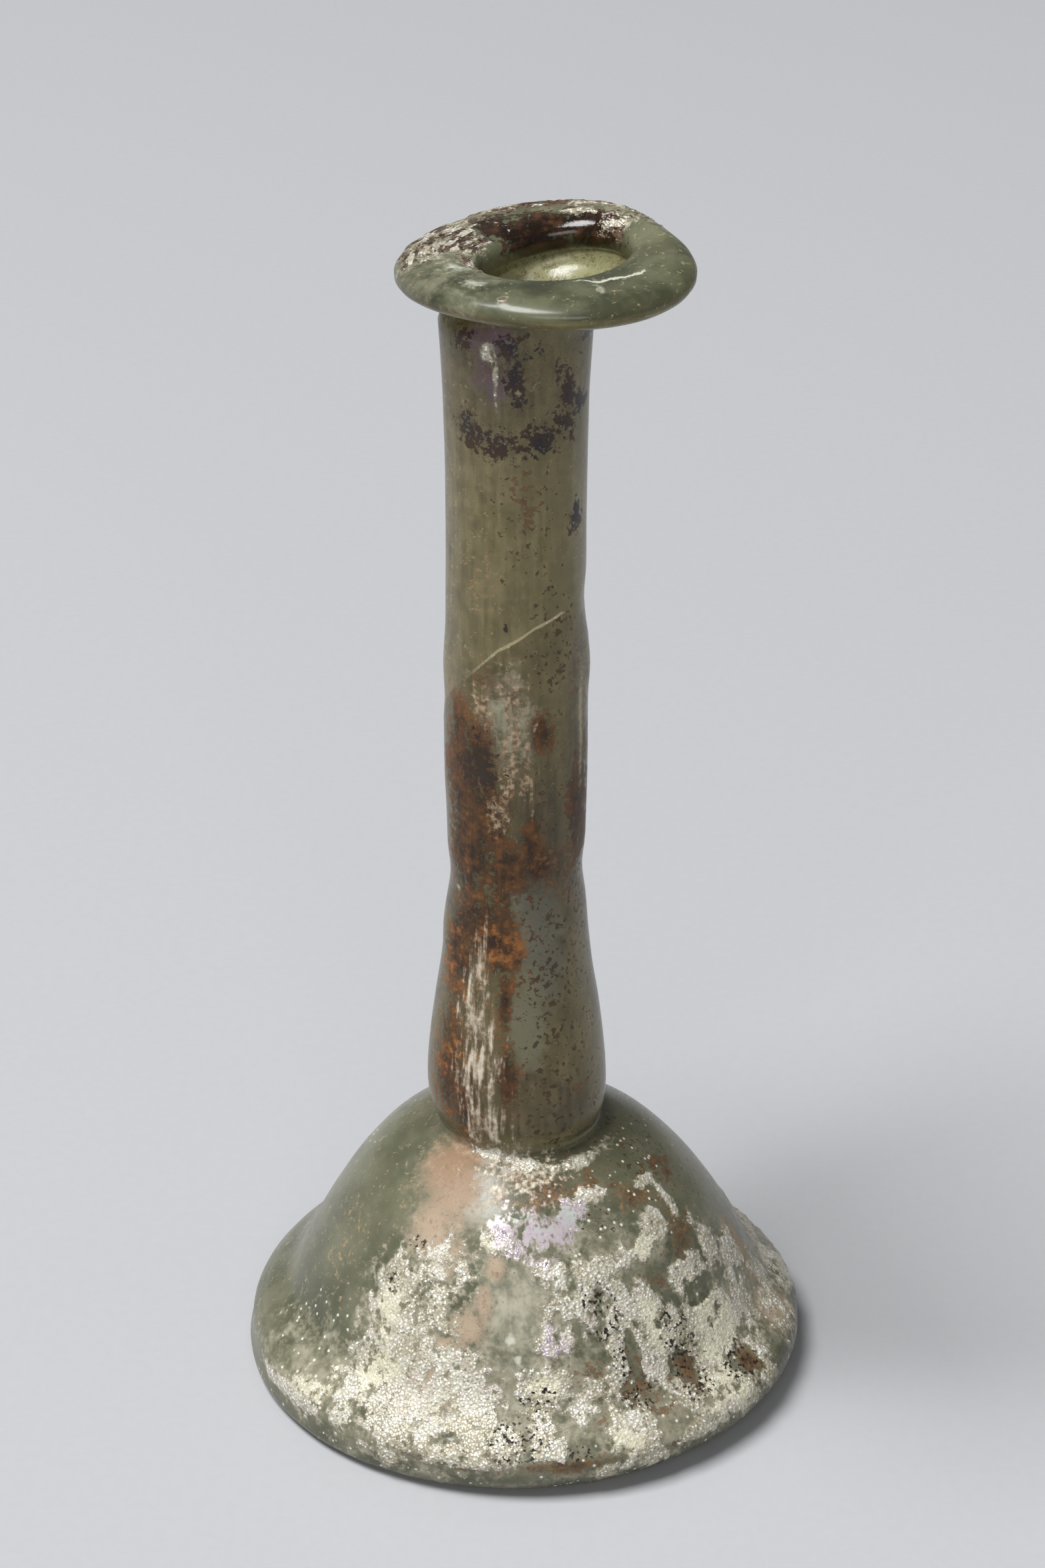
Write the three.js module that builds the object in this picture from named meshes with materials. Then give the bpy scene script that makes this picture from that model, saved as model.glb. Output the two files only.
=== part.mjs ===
// A free-blown glass perfume flask of the candlestick kind: a low bell-shaped body under a neck three
// times as tall, and a broad lip that was folded out, up and in. It is one piece of glass, hollow and
// open at the mouth. Millimetres, +Z up. The origin is on the ground, under the middle of the flask's
// bounding box, and the side that the photograph shows faces -Y.
import * as THREE from "three";

// The body, from the ground to the crease where the neck begins.
const BODY_HEIGHT = 36.3;
const BELLY_RADIUS = 37.5; // the widest ring, low on the body
const BELLY_LIFT = 4; // its height above the ground
const FOOT_RADIUS = 33.4; // outer edge of the flat ring that the flask stands on
const FOOT_WIDTH = 3.2;
const KICK_DEPTH = 4.2; // how far the underside is pushed up in the middle
const CREASE_RADIUS = 10.6;

// The neck, from the crease to the middle of the lip.
const NECK_LENGTH = 120.9;
const BULB_RADIUS = 11.9; // the swelling just above the crease
const BULB_RISE = 8;
const NECK_RADIUS = 8.95;
const NECK_SWELL = 0.2; // a slight fullness half way up
const NECK_TOP_RADIUS = 9.6;
const FLARE_HEIGHT = 5.4; // from there to the middle of the lip, the neck opens like a funnel
const FLARE_RADIUS = 12.4; // where it runs into the underside of the lip

// The lip: an oval ring of solid glass, wider and higher to one side.
const LIP_REACH = 19; // from the middle of the mouth to the outer edge, on average
const LIP_THICKNESS = 4.5;
const MOUTH_RADIUS = 9.2;
const FOLD_DEPTH = 1.4; // how far the folded edge hangs down inside the mouth
const FOLD_STEP = 0.6; // how far it stands proud of the funnel below it

// The glass.
const BODY_WALL = 1.8;
const NECK_WALL = 1.7;
const FLOOR_WALL = 2.4;

// How the hand-made shape departs from a turned one.
const FOOT_SHIFT = -1.9; // the standing ring lies to the left of the belly
const NECK_SHIFT = -1.2; // and so does the neck
const MOUTH_SHIFT = new THREE.Vector2(3.5, 1); // the mouth leans right and a little to the back
const LEAN_HEIGHT = 4; // the height below the lip over which it does
const LIP_WAVES = [
  // bulges of the lip's edge: how many, how far out, and where the first one points in degrees
  { count: 1, reach: 1.95, towards: 211 },
  { count: 2, reach: 1.95, towards: 115.5 },
  { count: 3, reach: 0.43, towards: 85 },
];
const MOUTH_WAVE = { count: 2, reach: 0.7, towards: 45 }; // the mouth is slightly oval
const LIP_TILT = new THREE.Vector2(1.5, -0.5); // rise of the lip's edge towards +X and +Y
const LIP_WARP = 0.6; // the lip is also a little saddle-shaped

// How finely the surface is divided.
const SEGMENTS = 40;
const UNDERSIDE_RINGS = 6;
const HEEL_RINGS = 4;
const BODY_RINGS = 11;
const NECK_RINGS = 21;
const FLARE_RINGS = 3;
const LIP_RINGS = 14;

const creaseZ = BODY_HEIGHT;
const bulbZ = creaseZ + BULB_RISE;
const lipZ = creaseZ + NECK_LENGTH;
const flareZ = lipZ - FLARE_HEIGHT;
const { lerp, smoothstep, degToRad } = THREE.MathUtils;

const at = (radius, height) => new THREE.Vector2(radius, height);
const arc = (count, point) => Array.from({ length: count + 1 }, (_, i) => point(i / count));

// A smooth line through a few points of (radius, height), as evenly spaced points.
function through(points, count) {
  const curve = new THREE.CatmullRomCurve3(
    points.map((p) => new THREE.Vector3(p.x, p.y, 0)),
    false,
    "centripetal",
  );
  return curve.getSpacedPoints(count).map((p) => at(p.x, p.y));
}

// A shallow dome over the middle, down to the given radius.
function dome(radius, rise, lift) {
  const height = (share) => lift + (rise * (1 + Math.cos(Math.PI * share))) / 2;
  return arc(UNDERSIDE_RINGS, (share) => at(radius * share, height(share)));
}

// The rounded edge from the standing ring to the belly, a quarter of an oval.
function heel() {
  const reach = BELLY_RADIUS - FOOT_RADIUS;
  return arc(HEEL_RINGS, (share) => {
    const angle = (share * Math.PI) / 2;
    return at(FOOT_RADIUS + reach * Math.sin(angle), BELLY_LIFT * (1 - Math.cos(angle)));
  });
}

// From the belly to the crease: a hollow flank and then a domed shoulder, as shares of the belly's
// overhang and of the height above it.
function flank() {
  const overhang = BELLY_RADIUS - CREASE_RADIUS;
  const rise = creaseZ - BELLY_LIFT;
  const shares = [
    [1, 0],
    [0.99, 0.055],
    [0.93, 0.12],
    [0.8, 0.215],
    [0.7, 0.37],
    [0.6, 0.525],
    [0.48, 0.685],
    [0.32, 0.84],
    [0.13, 0.95],
    [0, 1],
  ];
  const points = shares.map(([out, up]) => at(CREASE_RADIUS + out * overhang, BELLY_LIFT + up * rise));
  return through(points, BODY_RINGS);
}

// The neck's outside up to the flare: the bulb above the crease, its taper and the long slim part.
function neck() {
  const slim = flareZ - bulbZ;
  const taper = (share) => NECK_RADIUS + (BULB_RADIUS - NECK_RADIUS) * share;
  const points = [
    at(CREASE_RADIUS, creaseZ),
    at(lerp(CREASE_RADIUS, BULB_RADIUS, 0.85), creaseZ + 0.4 * BULB_RISE),
    at(BULB_RADIUS, bulbZ),
    at(taper(0.64), bulbZ + 0.09 * slim),
    at(taper(0.34), bulbZ + 0.15 * slim),
    at(taper(0.13), bulbZ + 0.21 * slim),
    at(NECK_RADIUS, bulbZ + 0.27 * slim),
    at(NECK_RADIUS + NECK_SWELL, bulbZ + 0.46 * slim),
    at(NECK_RADIUS - NECK_SWELL / 2, bulbZ + 0.72 * slim),
    at(NECK_RADIUS + NECK_SWELL / 2, bulbZ + 0.9 * slim),
    at(NECK_TOP_RADIUS, flareZ),
  ];
  return through(points, NECK_RINGS);
}

// The lip's oval section: from the flare round the outer edge and over the top into the mouth.
function lip() {
  const half = at((LIP_REACH - MOUTH_RADIUS) / 2, LIP_THICKNESS / 2);
  const middle = at(MOUTH_RADIUS + half.x, lipZ);
  const start = -Math.acos((FLARE_RADIUS - middle.x) / half.x);
  return arc(LIP_RINGS, (share) => {
    const angle = lerp(start, Math.PI, share);
    return at(middle.x + half.x * Math.cos(angle), middle.y + half.y * Math.sin(angle));
  });
}

// The funnel between the neck and the lip, a quarter of an oval that starts upright.
function flare(end) {
  const start = at(NECK_TOP_RADIUS, flareZ);
  const points = arc(FLARE_RINGS, (share) => {
    const angle = (share * Math.PI) / 2;
    return at(lerp(end.x, start.x, Math.cos(angle)), lerp(start.y, end.y, Math.sin(angle)));
  });
  return points.slice(1, -1);
}

// A line moved inwards by the thickness of the wall, as the inside of blown glass follows the outside.
function lining(outside) {
  return outside.map((p, i) => {
    const before = outside[Math.max(i - 1, 0)];
    const after = outside[Math.min(i + 1, outside.length - 1)];
    const along = after.clone().sub(before).normalize();
    const wall = lerp(BODY_WALL, NECK_WALL, smoothstep(p.y, 0, creaseZ));
    return at(p.x - along.y * wall, p.y + along.x * wall);
  });
}

// The whole section: from the middle of the underside, up the outside, over the lip and down the
// inside to the middle of the floor.
function section() {
  const edge = lip();
  const outside = [...heel(), ...flank().slice(1), ...neck().slice(1), ...flare(edge[0])];
  const foldZ = lipZ - FOLD_DEPTH;
  const fold = [at(MOUTH_RADIUS - FOLD_STEP / 2, foldZ), at(MOUTH_RADIUS + FOLD_STEP / 2, foldZ - FOLD_STEP)];
  const inside = lining(outside).filter((p) => p.y > FLOOR_WALL && p.y < foldZ - 2 * FOLD_STEP);
  return [
    ...dome(FOOT_RADIUS - FOOT_WIDTH, KICK_DEPTH, 0),
    ...outside,
    ...edge,
    ...fold,
    ...inside.reverse(),
    ...dome(FOOT_RADIUS - FOOT_WIDTH, KICK_DEPTH, FLOOR_WALL).reverse(),
  ];
}

// The middle of the flask's ring at a height.
function middleAt(height) {
  const foot = FOOT_SHIFT * (1 - smoothstep(height, 0, BELLY_LIFT));
  const lowNeck = NECK_SHIFT * smoothstep(height, BODY_HEIGHT / 2, bulbZ);
  const lipBottom = lipZ - LIP_THICKNESS / 2;
  const lean = smoothstep(height, lipBottom - LEAN_HEIGHT, lipBottom);
  return new THREE.Vector2(lerp(foot + lowNeck, MOUTH_SHIFT.x, lean), lean * MOUTH_SHIFT.y);
}

// A point of the section, carried round the flask to an angle.
function carried(p, angle) {
  const towardsLip = smoothstep(p.y, flareZ, lipZ - LIP_THICKNESS / 2);
  const towardsEdge = smoothstep(p.x, MOUTH_RADIUS, LIP_REACH);
  const bulgeOf = (wave) => wave.reach * Math.cos(wave.count * (angle - degToRad(wave.towards)));
  const edgeBulge = LIP_WAVES.reduce((sum, wave) => sum + bulgeOf(wave), 0);
  const middle = middleAt(p.y);
  const direction = new THREE.Vector2(Math.cos(angle), Math.sin(angle));
  const reach = p.x + lerp(bulgeOf(MOUTH_WAVE), edgeBulge, towardsEdge) * towardsLip;
  const tilt = (LIP_TILT.dot(direction) + LIP_WARP * Math.sin(2 * angle)) * (p.x / LIP_REACH);
  return new THREE.Vector3(
    middle.x + reach * direction.x,
    middle.y + reach * direction.y,
    p.y + tilt * towardsLip,
  );
}

// Turns the section into a closed skin: rings of points, and one point at each end on the axis.
function blown(points) {
  const last = points.length - 1;
  const rings = points.slice(1, last);
  const corners = [carried(points[0], 0)];
  rings.forEach((p) => {
    for (let j = 0; j < SEGMENTS; j++) corners.push(carried(p, (2 * Math.PI * j) / SEGMENTS));
  });
  corners.push(carried(points[last], 0));
  const corner = (ring, j) => 1 + ring * SEGMENTS + (j % SEGMENTS);
  const faces = [];
  for (let j = 0; j < SEGMENTS; j++) {
    faces.push(0, corner(0, j + 1), corner(0, j));
    for (let ring = 0; ring < rings.length - 1; ring++) {
      faces.push(corner(ring, j), corner(ring, j + 1), corner(ring + 1, j + 1));
      faces.push(corner(ring, j), corner(ring + 1, j + 1), corner(ring + 1, j));
    }
    faces.push(corners.length - 1, corner(rings.length - 1, j), corner(rings.length - 1, j + 1));
  }
  const geometry = new THREE.BufferGeometry().setFromPoints(corners).setIndex(faces);
  geometry.computeVertexNormals();
  return geometry;
}

const weatheredGlass = new THREE.MeshStandardMaterial({
  color: 0x9aa084,
  roughness: 0.35,
  metalness: 0,
  transparent: true,
  opacity: 0.6,
});

const flask = new THREE.Mesh(blown(section()), weatheredGlass);
flask.name = "flask";

const part = new THREE.Group();
part.add(flask);

export default part;
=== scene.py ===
# %% [markdown]
# # A weathered glass perfume flask
# The flask was blown from one gather of glass some two thousand years ago, and then it lay in the
# ground. So it is one piece here too: a hollow skin of clear olive glass, with everything that time
# has put on it. This lesson builds the skin first, then works out where each kind of weathering
# lies, and ends with one material that reads those places.

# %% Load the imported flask
import math

import bpy
import numpy as np
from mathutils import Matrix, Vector, noise


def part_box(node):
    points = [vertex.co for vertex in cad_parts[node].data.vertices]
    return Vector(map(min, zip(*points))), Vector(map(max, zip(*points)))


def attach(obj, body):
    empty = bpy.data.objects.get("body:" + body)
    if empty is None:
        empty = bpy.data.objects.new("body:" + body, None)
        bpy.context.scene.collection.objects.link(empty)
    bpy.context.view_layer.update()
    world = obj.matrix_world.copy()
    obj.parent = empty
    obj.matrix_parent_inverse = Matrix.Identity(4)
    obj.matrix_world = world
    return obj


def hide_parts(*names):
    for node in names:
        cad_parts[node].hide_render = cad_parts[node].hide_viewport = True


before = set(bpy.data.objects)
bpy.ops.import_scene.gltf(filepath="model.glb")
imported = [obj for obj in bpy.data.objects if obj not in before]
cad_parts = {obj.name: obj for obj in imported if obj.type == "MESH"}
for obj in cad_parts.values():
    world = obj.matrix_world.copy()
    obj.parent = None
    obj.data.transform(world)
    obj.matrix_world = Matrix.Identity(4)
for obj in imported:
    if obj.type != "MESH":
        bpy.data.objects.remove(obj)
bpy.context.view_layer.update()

MM = 0.001
low_corner, high_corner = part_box("flask")
height = high_corner.z / MM
belly_radius = (high_corner.y - low_corner.y) / 2 / MM
print(f"the solid is {height:.1f} mm tall and {2 * belly_radius:.1f} mm across")

# %% [markdown]
# ## The camera
# The photograph looks down at the flask from about twice its height, through a long lens. The camera's
# place was found by fitting the outline of the flask, and is set here in metres and degrees.

# %% Set the camera
CAMERA_PLACE = (-0.0004, -0.480, 0.3414)
CAMERA_TILT = 28  # degrees below level
LENS = 96.9  # millimetres, on a frame 36 mm tall

bpy.ops.object.camera_add(location=CAMERA_PLACE, rotation=(math.radians(90 - CAMERA_TILT), 0, 0))
camera = bpy.context.object
camera.data.sensor_width = 36
camera.data.lens = LENS
camera.data.clip_start = 0.01
bpy.context.scene.camera = camera
print(f"the camera stands {Vector(CAMERA_PLACE).length:.2f} m from the flask's foot")

# %% [markdown]
# ## The section
# A blown flask is a turned shape, so it can be drawn as half a section and spun. The line starts
# under the middle of the base, runs up the outside, over the folded lip and down the inside. Its
# points lie close together on the outside, where the light plays, and far apart where nobody looks.

# %% Draw a smooth line through a few points
POINTS_PER_KNOT = 24  # before the line is cut into even steps


def smooth_line(knots, spacing):
    """A smooth line through (radius, height) knots, cut into even steps of about the spacing."""
    knots = np.array(knots, float)
    knots = np.vstack([2 * knots[0] - knots[1], knots, 2 * knots[-1] - knots[-2]])
    share = np.linspace(0, 1, POINTS_PER_KNOT, endpoint=False)[:, None]
    pieces = []
    for before, start, end, after in zip(knots, knots[1:], knots[2:], knots[3:]):
        steps = (start - before, end - start, after - end)
        t0, t1, t2 = (np.linalg.norm(step) ** 0.5 for step in steps)
        leave = ((start - before) / t0 - (end - before) / (t0 + t1) + (end - start) / t1) * t1
        arrive = ((end - start) / t1 - (after - start) / (t1 + t2) + (after - end) / t2) * t1
        bend = 2 * start - 2 * end + leave + arrive
        sag = 3 * end - 3 * start - 2 * leave - arrive
        pieces.append(start + leave * share + sag * share**2 + bend * share**3)
    line = np.vstack([*pieces, knots[-2:-1]])
    return even_steps(line, spacing)


def even_steps(line, spacing):
    """The same line, cut into even steps of about the spacing."""
    length = np.concatenate([[0], np.cumsum(np.linalg.norm(np.diff(line, axis=0), axis=1))])
    marks = np.linspace(0, length[-1], max(2, round(length[-1] / spacing) + 1))
    return np.stack([np.interp(marks, length, line[:, k]) for k in (0, 1)], 1)


def smooth_step(value, low, high):
    """0 below low, 1 above high and a smooth rise between them."""
    share = np.clip((value - low) / (high - low), 0, 1)
    return share * share * (3 - 2 * share)


# %% The sizes of the section, in millimetres
BODY_HEIGHT = 36.3
BELLY_LIFT = 4
FOOT_RADIUS = 33.4
FOOT_WIDTH = 3.2
KICK_DEPTH = 4.2
CREASE_RADIUS = 10.6
BULB_RADIUS = 11.9
BULB_RISE = 8
NECK_RADIUS = 8.95
NECK_SWELL = 0.2
NECK_TOP_RADIUS = 9.6
FLARE_HEIGHT = 5.4
FLARE_RADIUS = 12.4
LIP_HEIGHT = 157.2  # the middle of the lip's thickness
LIP_REACH = 19
LIP_THICKNESS = 4.5
MOUTH_RADIUS = 9.2
FOLD_DEPTH = 1.4
FOLD_STEP = 0.6
BODY_WALL = 1.8
NECK_WALL = 1.7
FLOOR_WALL = 2.4

flare_start = LIP_HEIGHT - FLARE_HEIGHT
bulb_height = BODY_HEIGHT + BULB_RISE
print(f"the neck's bulb is {bulb_height:.1f} mm up, and the funnel starts at {flare_start:.1f} mm")


# %% Draw the underside and the rounded edge
HEEL_POINTS = 9


def underside(lift, spacing):
    """The shallow dome under the flask, or above its floor, from the middle outwards."""
    reach = FOOT_RADIUS - FOOT_WIDTH
    share = np.linspace(0, 1, round(reach / spacing))
    return np.stack([reach * share, lift + KICK_DEPTH * (1 + np.cos(np.pi * share)) / 2], 1)


def heel():
    """The rounded edge from the standing ring to the belly."""
    angle = np.linspace(0, np.pi / 2, HEEL_POINTS)
    across = FOOT_RADIUS + (belly_radius - FOOT_RADIUS) * np.sin(angle)
    return np.stack([across, BELLY_LIFT * (1 - np.cos(angle))], 1)


# %% Draw the flank
def flank(spacing):
    """From the belly to the crease: a hollow flank and a domed shoulder."""
    overhang = belly_radius - CREASE_RADIUS
    rise = BODY_HEIGHT - BELLY_LIFT
    shares = [
        (1, 0),
        (0.99, 0.055),
        (0.93, 0.12),
        (0.8, 0.215),
        (0.7, 0.37),
        (0.6, 0.525),
        (0.48, 0.685),
        (0.32, 0.84),
        (0.13, 0.95),
        (0, 1),
    ]
    knots = [(CREASE_RADIUS + out * overhang, BELLY_LIFT + up * rise) for out, up in shares]
    return smooth_line(knots, spacing)


# %% Draw the neck
def neck(spacing):
    """The bulb above the crease, its taper and the long slim part."""
    slim = flare_start - bulb_height
    taper = BULB_RADIUS - NECK_RADIUS
    knots = [
        (CREASE_RADIUS, BODY_HEIGHT),
        (CREASE_RADIUS + 0.85 * (BULB_RADIUS - CREASE_RADIUS), BODY_HEIGHT + 0.4 * BULB_RISE),
        (BULB_RADIUS, bulb_height),
        (NECK_RADIUS + 0.64 * taper, bulb_height + 0.09 * slim),
        (NECK_RADIUS + 0.34 * taper, bulb_height + 0.15 * slim),
        (NECK_RADIUS + 0.13 * taper, bulb_height + 0.21 * slim),
        (NECK_RADIUS, bulb_height + 0.27 * slim),
        (NECK_RADIUS + NECK_SWELL, bulb_height + 0.46 * slim),
        (NECK_RADIUS - NECK_SWELL / 2, bulb_height + 0.72 * slim),
        (NECK_RADIUS + NECK_SWELL / 2, bulb_height + 0.9 * slim),
        (NECK_TOP_RADIUS, flare_start),
    ]
    return smooth_line(knots, spacing)


# %% Draw the lip and the funnel under it
LIP_POINTS = 80  # before the lip is cut into even steps
FUNNEL_POINTS = 6


def lip(spacing):
    """The lip's oval section, round the outer edge and over the top into the mouth."""
    half_width = (LIP_REACH - MOUTH_RADIUS) / 2
    middle = MOUTH_RADIUS + half_width
    start = -math.acos((FLARE_RADIUS - middle) / half_width)
    angle = np.linspace(start, np.pi, LIP_POINTS)
    across = middle + half_width * np.cos(angle)
    up = LIP_HEIGHT + LIP_THICKNESS / 2 * np.sin(angle)
    return even_steps(np.stack([across, up], 1), spacing)


def funnel(end):
    """The short funnel between the neck and the lip."""
    angle = np.linspace(0, np.pi / 2, FUNNEL_POINTS)[1:-1]
    across = end[0] + (NECK_TOP_RADIUS - end[0]) * np.cos(angle)
    return np.stack([across, flare_start + (end[1] - flare_start) * np.sin(angle)], 1)


# %% Join the stretches into one section
BODY_SPACING = 0.8
NECK_SPACING = 1.5
LIP_SPACING = 0.7
UNDERSIDE_SPACING = 2.5
INSIDE_SPACING = 3.5


def lining(outside):
    """A line inside the outside, at the thickness of the wall."""
    along = np.gradient(outside, axis=0)
    along /= np.linalg.norm(along, axis=1)[:, None]
    wall = BODY_WALL + (NECK_WALL - BODY_WALL) * smooth_step(outside[:, 1], 0, BODY_HEIGHT)
    return outside + np.stack([-along[:, 1] * wall, along[:, 0] * wall], 1)


def whole_section():
    """The section as points, and for each point whether it lies inside the flask."""
    edge = lip(LIP_SPACING)
    outside = np.vstack([heel(), flank(BODY_SPACING)[1:], neck(NECK_SPACING)[1:], funnel(edge[0])])
    fold_height = LIP_HEIGHT - FOLD_DEPTH
    fold = np.array([
        (MOUTH_RADIUS - FOLD_STEP / 2, fold_height),
        (MOUTH_RADIUS + FOLD_STEP / 2, fold_height - FOLD_STEP),
    ])
    coarse_heel = heel()[::3]  # every third point
    coarse = [coarse_heel, flank(INSIDE_SPACING)[1:], neck(INSIDE_SPACING)[1:], funnel(edge[0])]
    inside = lining(np.vstack(coarse))
    inside = inside[(inside[:, 1] > FLOOR_WALL) & (inside[:, 1] < fold_height - 2 * FOLD_STEP)]
    hidden = np.vstack([fold, inside[::-1], underside(FLOOR_WALL, INSIDE_SPACING)[::-1]])
    shown = np.vstack([underside(0, UNDERSIDE_SPACING), outside, edge])
    is_inside = np.concatenate([np.zeros(len(shown)), np.ones(len(hidden))])
    return np.vstack([shown, hidden]), is_inside


section, is_inside = whole_section()
print(f"the section has {len(section)} points, {int(is_inside.sum())} of them inside")

# %% [markdown]
# ## Spinning the section
# The section is drawn as a line of edges and spun round the flask's axis, as on a lathe. The points
# of the line carry a mark that says whether they lie inside, and the spin hands it on to every ring. A
# Screw modifier would turn the line too, but the spin leaves a plain mesh at once, and its points are
# about to be moved.

# %% Spin the section into a closed skin
STEPS_ROUND = 192


def only(piece):
    """Deselects everything and makes the piece the one that the next operator works on."""
    bpy.ops.object.select_all(action="DESELECT")
    piece.select_set(True)
    bpy.context.view_layer.objects.active = piece


mesh = bpy.data.meshes.new("blown_glass")
edges = [(i, i + 1) for i in range(len(section) - 1)]
mesh.from_pydata([(0, -r * MM, z * MM) for r, z in section], edges, [])
mesh.attributes.new("inside", "FLOAT", "POINT").data.foreach_set("value", is_inside.astype(np.float32))
flask = bpy.data.objects.new("blown_glass", mesh)
bpy.context.collection.objects.link(flask)

only(flask)
bpy.ops.object.mode_set(mode="EDIT")
bpy.ops.mesh.select_all(action="SELECT")
bpy.ops.mesh.spin(steps=STEPS_ROUND, angle=2 * math.pi, center=(0, 0, 0), axis=(0, 0, 1))
bpy.ops.mesh.select_all(action="SELECT")
bpy.ops.mesh.remove_doubles(threshold=1e-6)
bpy.ops.mesh.normals_make_consistent(inside=False)
bpy.ops.object.mode_set(mode="OBJECT")
print(f"spun into {len(flask.data.vertices)} points and {len(flask.data.polygons)} faces")


# %% Read places on the flask
def points_of(piece):
    """The piece's points in millimetres, as an array."""
    values = np.empty(len(piece.data.vertices) * 3, np.float32)
    piece.data.vertices.foreach_get("co", values)
    return values.reshape(-1, 3).astype(float) / MM


def marks_of(piece, name):
    """The values of an attribute that the mesh keeps on its points."""
    values = np.empty(len(piece.data.vertices), np.float32)
    piece.data.attributes[name].data.foreach_get("value", values)
    return values


# %% [markdown]
# ## Finer where the crust lies
# The crust on the body stands proud of the glass by a few tenths of a millimetre, in flakes and
# bubbles. That needs small faces. A Subdivision Surface modifier would make them all round and pass the
# number of triangles that one piece may have, so only the faces on the crust's side are cut.

# %% Cut smaller faces where the crust lies
CRUST_SIDE = (-56, 86)  # degrees round from the front
CRUST_TOP = 35
UNDERSIDE_TOP = 6  # the underside lies below it, within the foot
across_x, across_y, up = points_of(flask).T
azimuth = np.degrees(np.arctan2(across_x, -across_y))
reach = np.hypot(across_x, across_y)
on_body = (up < CRUST_TOP) & ((reach > FOOT_RADIUS) | (up > UNDERSIDE_TOP))
in_zone = on_body & (azimuth > CRUST_SIDE[0]) & (azimuth < CRUST_SIDE[1])
in_zone &= marks_of(flask, "inside") < 0.5
for face in flask.data.polygons:
    face.select = all(in_zone[i] for i in face.vertices)
for edge in flask.data.edges:
    edge.select = False
for vertex in flask.data.vertices:
    vertex.select = False
only(flask)
bpy.ops.object.mode_set(mode="EDIT")
bpy.context.tool_settings.mesh_select_mode = (False, False, True)
bpy.ops.mesh.subdivide(number_cuts=2)
bpy.ops.object.mode_set(mode="OBJECT")
print(f"with the crust's side cut finer: {len(flask.data.polygons)} faces")

# %% [markdown]
# ## What the hand did
# The flask was never turned on a lathe. It stands a little off its belly, its neck leans, and the lip
# is an uneven oval, wider and higher to the right. Sculpting could give it that, but here every point
# moves by a rule of its own height, reach and angle, so that one number changes one bulge.

# %% Lean and bulge the skin as the hand left it
FOOT_SHIFT = -1.9
NECK_SHIFT = -1.2
MOUTH_SHIFT = (3.5, 1)
LEAN_HEIGHT = 4
LIP_WAVES = [(1, 1.95, 211), (2, 1.95, 115.5), (3, 0.43, 85)]  # count, reach, towards
MOUTH_WAVE = (2, 0.7, 45)
LIP_TILT = (1.5, -0.5)
LIP_WARP = 0.6


def middle_at(z):
    """The middle of the flask's ring at a height."""
    foot = FOOT_SHIFT * (1 - smooth_step(z, 0, BELLY_LIFT))
    low_neck = NECK_SHIFT * smooth_step(z, BODY_HEIGHT / 2, bulb_height)
    lip_bottom = LIP_HEIGHT - LIP_THICKNESS / 2
    lean = smooth_step(z, lip_bottom - LEAN_HEIGHT, lip_bottom)
    return (foot + low_neck) * (1 - lean) + MOUTH_SHIFT[0] * lean, MOUTH_SHIFT[1] * lean


def wave(angle, count, reach, towards):
    """Bulges of a reach in millimetres, a number of them, the first one towards an angle."""
    return reach * np.cos(count * (angle - math.radians(towards)))


def blown(points):
    """The points of the turned skin, moved to where the blower's hand left them."""
    reach, z = np.hypot(points[:, 0], points[:, 1]), points[:, 2]
    angle = np.arctan2(points[:, 1], points[:, 0])
    towards_lip = smooth_step(z, flare_start, LIP_HEIGHT - LIP_THICKNESS / 2)
    towards_edge = smooth_step(reach, MOUTH_RADIUS, LIP_REACH)
    edge_bulge = sum(wave(angle, *one) for one in LIP_WAVES)
    mouth_bulge = wave(angle, *MOUTH_WAVE)
    moved = reach + (mouth_bulge + (edge_bulge - mouth_bulge) * towards_edge) * towards_lip
    tilt = LIP_TILT[0] * np.cos(angle) + LIP_TILT[1] * np.sin(angle) + LIP_WARP * np.sin(2 * angle)
    x, y = middle_at(z)
    lift = tilt * reach / LIP_REACH * towards_lip
    return np.stack([x + moved * np.cos(angle), y + moved * np.sin(angle), z + lift], 1)


turned = points_of(flask)
placed = blown(turned)
print(f"the highest point of the lip is {placed[:, 2].max():.1f} mm up")

# %% [markdown]
# ## Where each kind of weathering lies
# Each stain or crust is a patch with a place on the flask: degrees round from the front, millimetres
# of climb, half its width and half its height. The climb is the height on the body and the neck. On
# top of the lip it goes on from 160 at the outer edge to 170 at the mouth, and from there it grows
# downwards, inside. A point's value is 1 in the middle of a patch, 0 at its edge and less beyond it.
# Patches could be painted by hand in vertex paint. As numbers they are easy to move a millimetre.

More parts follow.
